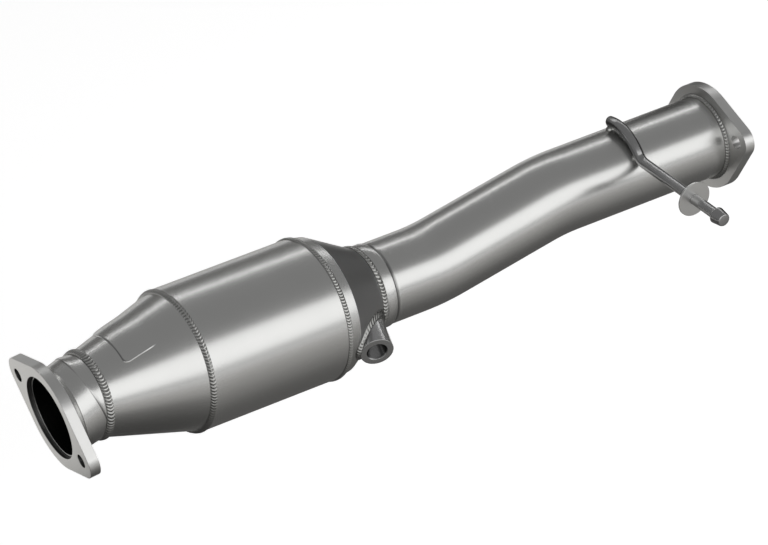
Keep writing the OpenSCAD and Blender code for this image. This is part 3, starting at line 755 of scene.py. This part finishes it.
for v in bung.verts:
    flat = math.hypot(v.co.x, v.co.y) / MM
    settled = THREAD_R if flat < THREAD_R + 0.1 else flat
    foot = cone_height(settled, math.atan2(v.co.y, v.co.x)) + 0.1
    if v.co.z / MM < foot + 0.3:
        v.co.x, v.co.y, v.co.z = v.co.x * settled / flat, v.co.y * settled / flat, foot * MM
bmesh.ops.remove_doubles(bung, verts=bung.verts, dist=1e-6)
# Painted shade in the bore.
darken(bung, lambda p: 1.0 if math.hypot(p.x, p.y) < THREAD_R + 0.1 else 0.0)
bmesh.ops.transform(bung, matrix=BUNG_PLACE, verts=bung.verts)
finish("sensor_bung_turned", bung, "sensor_bung", bung_steel, flat=True)

# %% [markdown]
# A weld bead is laid in small steps. Each step freezes as a curved ripple, so the bead looks
# like a row of coins tipped over. The bead is turned as a plain ring with many steps, and then
# its skin is pressed in between the ripples; the press is bowed across the bead, which makes
# the ripples crescents. The grooves and the feet of the bead get painted shade, and some
# beads are painted darker all over as shade.

# %% The shape of a bead
OVAL_STEPS = 14
RIPPLE_STEPS = 10
bead_steel = steel("weld bead steel", (0.67, 0.67, 0.65), 0.27, (1.0, 1.0, 1.0),
                   cloud=0.12, bump=0.01)


def half_oval(half_width, left, right, height, lean=0.0):
    """Points of (x, radius) from the left foot over the top of a bead to its right foot."""
    points = []
    for i in range(OVAL_STEPS + 1):
        t = math.pi * i / OVAL_STEPS
        x = -half_width * math.cos(t)
        foot = left + (right - left) * (1 - math.cos(t)) / 2
        points.append((x + lean * math.sin(t), foot + height * math.sin(t) ** 0.8))
    return points


def ripple_dip(phase):
    """0 on the crest of a ripple and 1 in the sharp groove between two."""
    s = phase % 1.0
    return (1 - math.sqrt(max(0.0, 1 - (2 * s - 1) ** 2))) ** 0.75


def bead_ring(name, node, x, axis_z, crest, base, pitch, depth, bow=0.5, ground=None, painted_shade=0.1):
    """A rippled bead: crest runs over its top, and base closes it underneath."""
    radius = max(r for _, r in crest)
    left, right = crest[0][0], crest[-1][0]
    ripples = round(2 * math.pi * radius / pitch)
    bm = turned([(x + dx, r) for dx, r in crest + base], steps=ripples * RIPPLE_STEPS, axis_z=axis_z)
    foot_left, foot_right = ground or (crest[0][1], crest[-1][1])
    shade = bm.verts.layers.float.new("shade")
    for v in bm.verts:
        y, z = v.co.y, v.co.z - axis_z * MM
        r = math.hypot(y, z) / MM
        across = ((v.co.x / MM - x) - left) / (right - left)
        foot = foot_left + (foot_right - foot_left) * across
        show = soft_step(r - foot, 0.05, 0.6)
        # Painted shade: dark at the bead's feet, and in the ripple grooves below.
        v[shade] = max(painted_shade, 0.85 * (1 - soft_step(r - foot, 0.1, 0.8)))
        if not show:
            continue
        side = 2 * across - 1
        angle = math.atan2(z, y)
        uneven = 0.12 * math.sin(5 * angle + x) + 0.08 * math.sin(13 * angle + 2 * x)
        phase = angle * ripples / (2 * math.pi) + bow * side * side + uneven
        dip = ripple_dip(phase)
        v[shade] = max(v[shade], 0.95 * show * dip ** 0.4)
        r_new = r - depth * show * dip
        v.co.y, v.co.z = y * r_new / r, axis_z * MM + z * r_new / r
    finish(name, bm, node, bead_steel)
    print(f"{name}: {ripples} ripples")


# %% [markdown]
# Five beads run straight round the part's axis. Each gets the width, lean and height that it
# has in the photograph, feet at the radius of what it joins, and its own ripple length.

# %% Beads round the neck, the can, the collar and the outlet
ON_PIPE = PIPE_R + 0.05
ON_CAN = CAN_R + 0.05
ON_COLLAR = COLLAR_R + 0.05
on_cone_start = CONE_SMALL_R + 3.65 * CONE_SLOPE + 0.05
bead_ring("neck_bead", "neck_weld", NECK_WELD_X, CAN_AXIS_Z,
          half_oval(3.5, ON_PIPE, on_cone_start, 2.5, lean=0.2),
          [(0.2, CONE_SMALL_R + 0.1)], 3.3, 1.0, bow=0.7)
bead_ring("can_front_bead", "front_shell_weld", CAN_X, CAN_AXIS_Z,
          half_oval(2.4, cone_r(CAN_X - 3.2) + 0.05, ON_CAN, 1.6)[:-1] + [(2.2, ON_CAN)],
          [(-0.1, ON_CAN), (-0.1, CONE_ENTRY_R + 0.1)], 3.3, 0.85)
bead_ring("can_rear_bead", "rear_shell_weld", (CAN_END_X + LIP_X) / 2, CAN_AXIS_Z,
          half_oval(2.4, ON_CAN, ON_CAN, 1.25), [(0.0, CAN_R + 0.04)], 2.9, 0.75)
bead_ring("collar_bead", "collar_weld", COLLAR_WELD_X, CAN_AXIS_Z,
          half_oval(2.9, outlet_cone_r(COLLAR_WELD_X - 2.9) + 0.05, ON_COLLAR, 1.55, lean=-0.2),
          [(0.0, ON_COLLAR)], 3.5, 1.0, painted_shade=0.0)
bead_ring("outlet_flange_bead", "outlet_flange_weld", FLANGE_X, TAIL_Z,
          [(-3.0, ON_PIPE), (-2.55, PIPE_R + 0.75), (-1.95, PIPE_R + 1.35),
           (-1.25, PIPE_R + 1.9), (-0.65, PIPE_R + 2.45), (-0.12, PIPE_R + 3.1)],
          [(-0.12, ON_PIPE)], 3.3, 0.8, ground=(ON_PIPE, ON_PIPE), painted_shade=0.4)

# %% [markdown]
# The fillet behind the inlet flange runs between a plate and a tube that meet at a slight
# angle. It is turned as a plain ring with almost smooth ripples, and its points are then slid
# along the slanted neck until the ring stands on the back of the plate.

# %% Fillet behind the inlet flange
FILLET_RIPPLES = 96
FILLET_GROOVE = 0.03
fillet = [(0.0, 7.2), (0.5, 7.0), (1.05, 6.0), (1.6, 4.8), (2.3, 3.4), (3.0, 2.1),
          (3.8, 1.0), (4.6, 0.12), (0.0, 0.12)]
flange_bead = turned([(depth, PIPE_R + out) for out, depth in fillet], steps=420, axis_z=0)
# Painted shade: the fillet's toe on the tube is painted dark as shade in its crease, and the rest is
# toned down a little.
darken(flange_bead, lambda p: 0.8 if p.x > 7.1 else 0.38)
for v in flange_bead.verts:
    r, a = math.hypot(v.co.y, v.co.z) / MM, math.atan2(v.co.z, v.co.y)
    out, depth = r - PIPE_R, v.co.x / MM
    shown = soft_step(min(out, depth), 0.15, 0.9)
    dip = FILLET_GROOVE * shown * ripple_dip(a * FILLET_RIPPLES / (2 * math.pi))
    v.co = on_neck(r - dip + 0.05, a, FLANGE_T + depth) * MM
finish("inlet_flange_fillet", flange_bead, "inlet_flange_weld", bead_steel)

# %% [markdown]
# The bead round the bung runs over a saddle: high where the cone rises to the bung and low
# where it falls away. Flat rings are spun round the bung's axis, and every point is then
# lifted onto a curve from the bung's side to the cone, which is looked up at its own angle.

# %% Saddle bead round the bung
SADDLE_LEG = 4.2
SADDLE_ROWS = 9
SADDLE_RIPPLES = 40
BUNG_SIDE_R = BUNG_R + 0.05
HIDDEN_R = BUNG_R + 1.2
saddle = bmesh.new()
rows = [point(BUNG_SIDE_R + i, 0, 0) for i in range(SADDLE_ROWS)] + [point(BUNG_R + 1, 0, -1)]
spin_round(saddle, wire_loop(saddle, rows), (0, 0, 0), (0, 0, 1), SADDLE_RIPPLES * RIPPLE_STEPS)
shade = saddle.verts.layers.float.new("shade")
for v in saddle.verts:
    a = math.atan2(v.co.y, v.co.x)
    row = (math.hypot(v.co.x, v.co.y) / MM - BUNG_SIDE_R) / (SADDLE_ROWS - 1)
    row = min(1.0, max(0.0, row))
    near, far = cone_height(BUNG_SIDE_R, a), cone_height(BUNG_R + SADDLE_LEG, a)
    if v.co.z < -0.5 * MM:
        r, h = HIDDEN_R, cone_height(HIDDEN_R, a) + 0.05
    else:
        top = Vector((BUNG_SIDE_R, near + SADDLE_LEG))
        waist = Vector((BUNG_R + SADDLE_LEG / 2 + 0.6, max((near + far) / 2 + 2.2, far + 1.5)))
        foot = Vector((BUNG_R + SADDLE_LEG, far + 0.03))
        curve = top * (1 - row) ** 2 + waist * 2 * row * (1 - row) + foot * row ** 2
        shown = math.sin(math.pi * row) ** 0.5
        groove = ripple_dip(a * SADDLE_RIPPLES / (2 * math.pi) + 0.3 * (2 * row - 1) ** 2)
        sink = 0.6 * groove * shown
        # Painted shade: a darker tone over the whole bead, deeper in the ripple grooves and at its
        # feet.
        v[shade] = max(0.6, 0.95 * groove ** 0.5 * shown, 0.8 * (1 - soft_step(shown, 0.1, 0.6)))
        r, h = curve.x - sink * 0.7, curve.y - sink * 0.7
        h = max(h, cone_height(r, a) + 0.03)
        r = max(r, BUNG_R + 0.03)
    v.co = point(r * math.cos(a), r * math.sin(a), h)
bmesh.ops.transform(saddle, matrix=BUNG_PLACE, verts=saddle.verts)
finish("bung_bead", saddle, "bung_weld", bead_steel)

# %% [markdown]
# The rod is held by two short lumps of weld, where its elbow and its free end touch the pipe.
# Each is a flattened ball, lightly rippled, half sunk between rod and pipe, and painted dark as shade
# there.

# %% Lumps that hold the rod
lumps = bmesh.new()
free_end = (HUMP[0] + HUMP_R * math.cos(hump_from), HUMP[1] + HUMP_R * math.sin(hump_from))
for (y, z), stands in ((ELBOW, 3.0), (free_end, 4.4)):
    turn = math.atan2(z, y)
    ball = bmesh.ops.create_uvsphere(lumps, u_segments=48, v_segments=28, radius=1.0)["verts"]
    for v in ball:
        wave = 1 - 0.07 * ripple_dip(v.co.y * 1.6 + 0.25 * v.co.x ** 2)
        v.co = Vector((v.co.x * 5.2 * wave, v.co.y * 3.6, v.co.z * stands * wave)) * MM
    bmesh.ops.transform(lumps, verts=ball, matrix=(
        Matrix.Translation(point(HANGER_X, PIPE_R * math.cos(turn), TAIL_Z + PIPE_R * math.sin(turn)))
        @ Matrix.Rotation(turn - math.pi / 2, 4, "X")))
darken(lumps, lambda p: 0.55)
finish("hanger_lumps", lumps, "hanger_welds", bead_steel)

# %% [markdown]
# Inside the can a ceramic brick with gas channels sits in a fibre mat, with a knitted wire
# seal at each end. Their solids have the right shape already, so they stay as they are and
# only get their finishes.

# %% Brick, mat and wire seals
def dull(name, light, dark, scale, rough, bump, metal=0.0):
    """A dull finish that wanders between two tones."""
    material = bpy.data.materials.new(name)
    material.use_nodes = True
    tree = material.node_tree
    link = tree.links.new
    shader = tree.nodes["Principled BSDF"]
    shader.inputs["Roughness"].default_value = rough
    shader.inputs["Metallic"].default_value = metal
    place = node_of(tree, "ShaderNodeTexCoord")
    grain = node_of(tree, "ShaderNodeTexNoise", Scale=scale, Detail=5.0, Roughness=0.7)
    link(place.outputs["Object"], grain.inputs["Vector"])
    tones = node_of(tree, "ShaderNodeMix", data_type="RGBA")
    tones.inputs["A"].default_value = (*dark, 1)
    tones.inputs["B"].default_value = (*light, 1)
    link(grain.outputs["Fac"], tones.inputs["Factor"])
    link(tones.outputs["Result"], shader.inputs["Base Color"])
    relief = node_of(tree, "ShaderNodeBump", Strength=bump, Distance=0.001)
    link(grain.outputs["Fac"], relief.inputs["Height"])
    link(relief.outputs["Normal"], shader.inputs["Normal"])
    return material


knitted_wire = ((0.62, 0.60, 0.57), (0.22, 0.21, 0.20), 1600, 0.4, 0.9, 1.0)
inner_finishes = {
    "catalyst_brick": dull("ceramic brick", (0.66, 0.58, 0.46), (0.50, 0.43, 0.33), 500, 0.85, 0.2),
    "support_mat": dull("fibre mat", (0.86, 0.85, 0.80), (0.66, 0.65, 0.60), 900, 0.95, 0.5),
    "front_mat_seal": dull("front wire seal", *knitted_wire),
    "rear_mat_seal": dull("rear wire seal", *knitted_wire),
}
for node_name, material in inner_finishes.items():
    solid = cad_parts[node_name]
    solid.data.materials.clear()
    solid.data.materials.append(material)
print("inner finishes:", list(inner_finishes))

# %% [markdown]
# The part floats over a wide pale floor. The floor shows white to the camera and in the
# steel, and takes the lamps' light and the part's faint shadow like any pale surface.

# %% Floor
FLOOR_Z = -0.36
FLOOR_GLOW = 0.62


def pale_floor_finish():
    """Pale paint that shows near white to the camera and in reflections."""
    material = bpy.data.materials.new("pale floor")
    material.use_nodes = True
    tree = material.node_tree
    link = tree.links.new
    tree.nodes.clear()
    paint = node_of(tree, "ShaderNodeBsdfDiffuse")
    paint.inputs["Color"].default_value = (0.86, 0.86, 0.86, 1)
    glow = node_of(tree, "ShaderNodeEmission")
    glow.inputs["Color"].default_value = (1, 1, 1, 1)
    ray = node_of(tree, "ShaderNodeLightPath")
    seen = node_of(tree, "ShaderNodeMath", operation="MAXIMUM")
    link(ray.outputs["Is Camera Ray"], seen.inputs[0])
    link(ray.outputs["Is Glossy Ray"], seen.inputs[1])
    shown = node_of(tree, "ShaderNodeMath", operation="MAXIMUM")
    link(seen.outputs["Value"], shown.inputs[0])
    link(ray.outputs["Is Transmission Ray"], shown.inputs[1])
    lift = node_of(tree, "ShaderNodeMath", operation="MULTIPLY")
    lift.inputs[1].default_value = FLOOR_GLOW
    link(shown.outputs["Value"], lift.inputs[0])
    link(lift.outputs["Value"], glow.inputs["Strength"])
    both = node_of(tree, "ShaderNodeAddShader")
    link(paint.outputs["BSDF"], both.inputs[0])
    link(glow.outputs["Emission"], both.inputs[1])
    out = node_of(tree, "ShaderNodeOutputMaterial")
    link(both.outputs["Shader"], out.inputs["Surface"])
    return material


floor_mesh = bmesh.new()
bmesh.ops.create_grid(floor_mesh, x_segments=1, y_segments=1, size=20)
bmesh.ops.translate(floor_mesh, verts=floor_mesh.verts, vec=(0.4, 0, FLOOR_Z))
floor_data = bpy.data.meshes.new("floor")
floor_mesh.to_mesh(floor_data)
floor_mesh.free()
floor = bpy.data.objects.new("floor", floor_data)
floor_data.materials.append(pale_floor_finish())
bpy.context.scene.collection.objects.link(floor)
print("floor at", FLOOR_Z, "m")

# %% [markdown]
# Polished tube looks like what stands round it. One long low softbox makes the broad bright
# band along the part, and a narrow strip overhead makes the thin streak near its top.

# %% Lamps
BOX_W, BOX_H = 4.2, 1.20
BOX_WATTS = 1.24 * math.pi * BOX_W * BOX_H


def softbox(name, centre, aim, width, height, watts):
    """A rectangular lamp at a place, turned to face a point; both in metres."""
    lamp = bpy.data.lights.new(name, "AREA")
    lamp.shape = "RECTANGLE"
    lamp.size, lamp.size_y = width, height
    lamp.energy = watts
    holder = bpy.data.objects.new(name, lamp)
    bpy.context.scene.collection.objects.link(holder)
    to_aim = (Vector(aim) - Vector(centre)).normalized()
    side = to_aim.cross(Vector((0, 0, 1))).normalized()
    up = side.cross(to_aim)
    holder.matrix_world = (Matrix.Translation(Vector(centre))
                           @ Matrix((side, up, -to_aim)).transposed().to_4x4())
    holder.visible_camera = False


softbox("long softbox", (1.0, -1.30, 0.72), (1.0, 0.0, 0.72), BOX_W, BOX_H, BOX_WATTS)
softbox("overhead strip", (1.15, 0.72, 0.86), (0.85, 0.0, 0.05), 2.2, 0.10, 1.9)

# %% [markdown]
# Cards that only the steel can see stand in for a photographer's flags. A wide one below
# shades the underside from dark to pale, with a darker and a pale one for the inlet. One beyond
# the outlet keeps the steep cone dark, and one at the far side greys the tubes' upper edge. The
# flag before the outlet flange darkens that plate; it shows on one side only, so that the can
# doesn't reflect it.

# %% Cards
def card_finish(name, axis, stops, one_sided=False):
    """A finish whose brightness runs through (place, brightness) stops along one axis."""
    material = bpy.data.materials.new(name)
    material.use_nodes = True
    tree = material.node_tree
    link = tree.links.new
    tree.nodes.clear()
    place = node_of(tree, "ShaderNodeTexCoord")
    apart = node_of(tree, "ShaderNodeSeparateXYZ")
    link(place.outputs["Object"], apart.inputs["Vector"])
    low, high = stops[0][0], stops[-1][0]
    along = node_of(tree, "ShaderNodeMapRange")
    along.inputs["From Min"].default_value = low
    along.inputs["From Max"].default_value = high
    link(apart.outputs[axis], along.inputs["Value"])
    ramp = node_of(tree, "ShaderNodeValToRGB")
    spots = ramp.color_ramp.elements
    spots.remove(spots[1])
    for i, (at, bright) in enumerate(stops):
        share = (at - low) / (high - low)
        spot = spots[0] if i == 0 else spots.new(share)
        spot.position = share
        spot.color = (bright, bright * 0.985, bright * 0.96, 1)
    link(along.outputs["Result"], ramp.inputs["Fac"])
    glow = node_of(tree, "ShaderNodeEmission", Strength=1.0)
    link(ramp.outputs["Color"], glow.inputs["Color"])
    shine = glow.outputs["Emission"]
    if one_sided:
        side = node_of(tree, "ShaderNodeNewGeometry")
        clear = node_of(tree, "ShaderNodeBsdfTransparent")
        either = node_of(tree, "ShaderNodeMixShader")
        link(side.outputs["Backfacing"], either.inputs[0])
        link(shine, either.inputs[1])
        link(clear.outputs["BSDF"], either.inputs[2])
        shine = either.outputs["Shader"]
    out = node_of(tree, "ShaderNodeOutputMaterial")
    link(shine, out.inputs["Surface"])
    return material


def card(name, centre, normal, width, height, finish_of_card):
    """A flat card that only the steel sees, facing along normal; it is tall along Z or Y."""
    bm = bmesh.new()
    bmesh.ops.create_grid(bm, x_segments=1, y_segments=1, size=0.5)
    normal = Vector(normal)
    up = Vector((0, 1, 0)) if abs(normal.z) > 0.5 else Vector((0, 0, 1))
    turn = Matrix((up.cross(normal) * width, up * height, normal)).transposed().to_4x4()
    bmesh.ops.transform(bm, matrix=Matrix.Translation(Vector(centre)) @ turn, verts=bm.verts)
    data = bpy.data.meshes.new(name)
    bm.to_mesh(data)
    bm.free()
    made = bpy.data.objects.new(name, data)
    data.materials.append(finish_of_card)
    made.visible_camera = False
    made.visible_diffuse = False
    made.visible_shadow = False
    made.visible_transmission = False
    bpy.context.scene.collection.objects.link(made)


table_tones = card_finish("table card", "Y", [
    (-2.0, 0.62), (-1.24, 0.58), (-0.54, 0.40), (-0.30, 0.26), (-0.167, 0.16), (-0.065, 0.13),
    (0.12, 0.11), (0.20, 0.18), (0.34, 0.62), (0.56, 0.58), (1.33, 0.54), (2.0, 0.5)])
card("table card", (0.65, 0.0, -0.30), (0, 0, 1), 4.3, 4.0, table_tones)
dark_tones = card_finish("dark card", "Z", [(-0.4, 0.05), (0.9, 0.05)])
card("card beyond the outlet", (1.35, 0.375, 0.105), (-1, 0, 0), 1.65, 0.79, dark_tones)
inlet_tones = card_finish("card under the inlet", "Y", [
    (-0.6, 0.40), (-0.45, 0.20), (-0.30, 0.15), (-0.167, 0.095), (-0.065, 0.075), (0.2, 0.065)])
card("card under the inlet", (-0.05, -0.2, -0.29), (0, 0, 1), 0.5, 0.8, inlet_tones)
pale_tones = card_finish("pale card", "Z", [(-0.4, 0.80), (0.9, 0.80)])
card("pale card for the inlet face", (-0.12, 0.48, -0.285), (0, 0, 1), 0.5, 0.5, pale_tones)
flag_tones = card_finish("outlet flag", "Z", [(-0.30, 0.95), (-0.21, 0.8), (-0.16, 0.05),
                                              (0.2, 0.03)], one_sided=True)
card("flag before the outlet flange", (0.50, 0.36, -0.10), (1, 0, 0), 0.62, 0.38, flag_tones)
grey_tones = card_finish("grey card", "Z", [(-0.4, 0.18), (0.9, 0.18)])
card("card at the far side", (1.0, 1.6, 0.46), (0, -1, 0), 3.2, 0.68, grey_tones)

# %% [markdown]
# An even grey room fills what the lamps leave, and the Standard view keeps every colour about
# as it is written.

# %% The room
ROOM_GREY = 0.31
world = bpy.data.worlds.new("even grey room")
bpy.context.scene.world = world
world.use_nodes = True
world.node_tree.nodes["Background"].inputs["Color"].default_value = (1, 1, 1, 1)
world.node_tree.nodes["Background"].inputs["Strength"].default_value = ROOM_GREY
bpy.context.scene.view_settings.view_transform = "Standard"
print("room brightness:", ROOM_GREY)
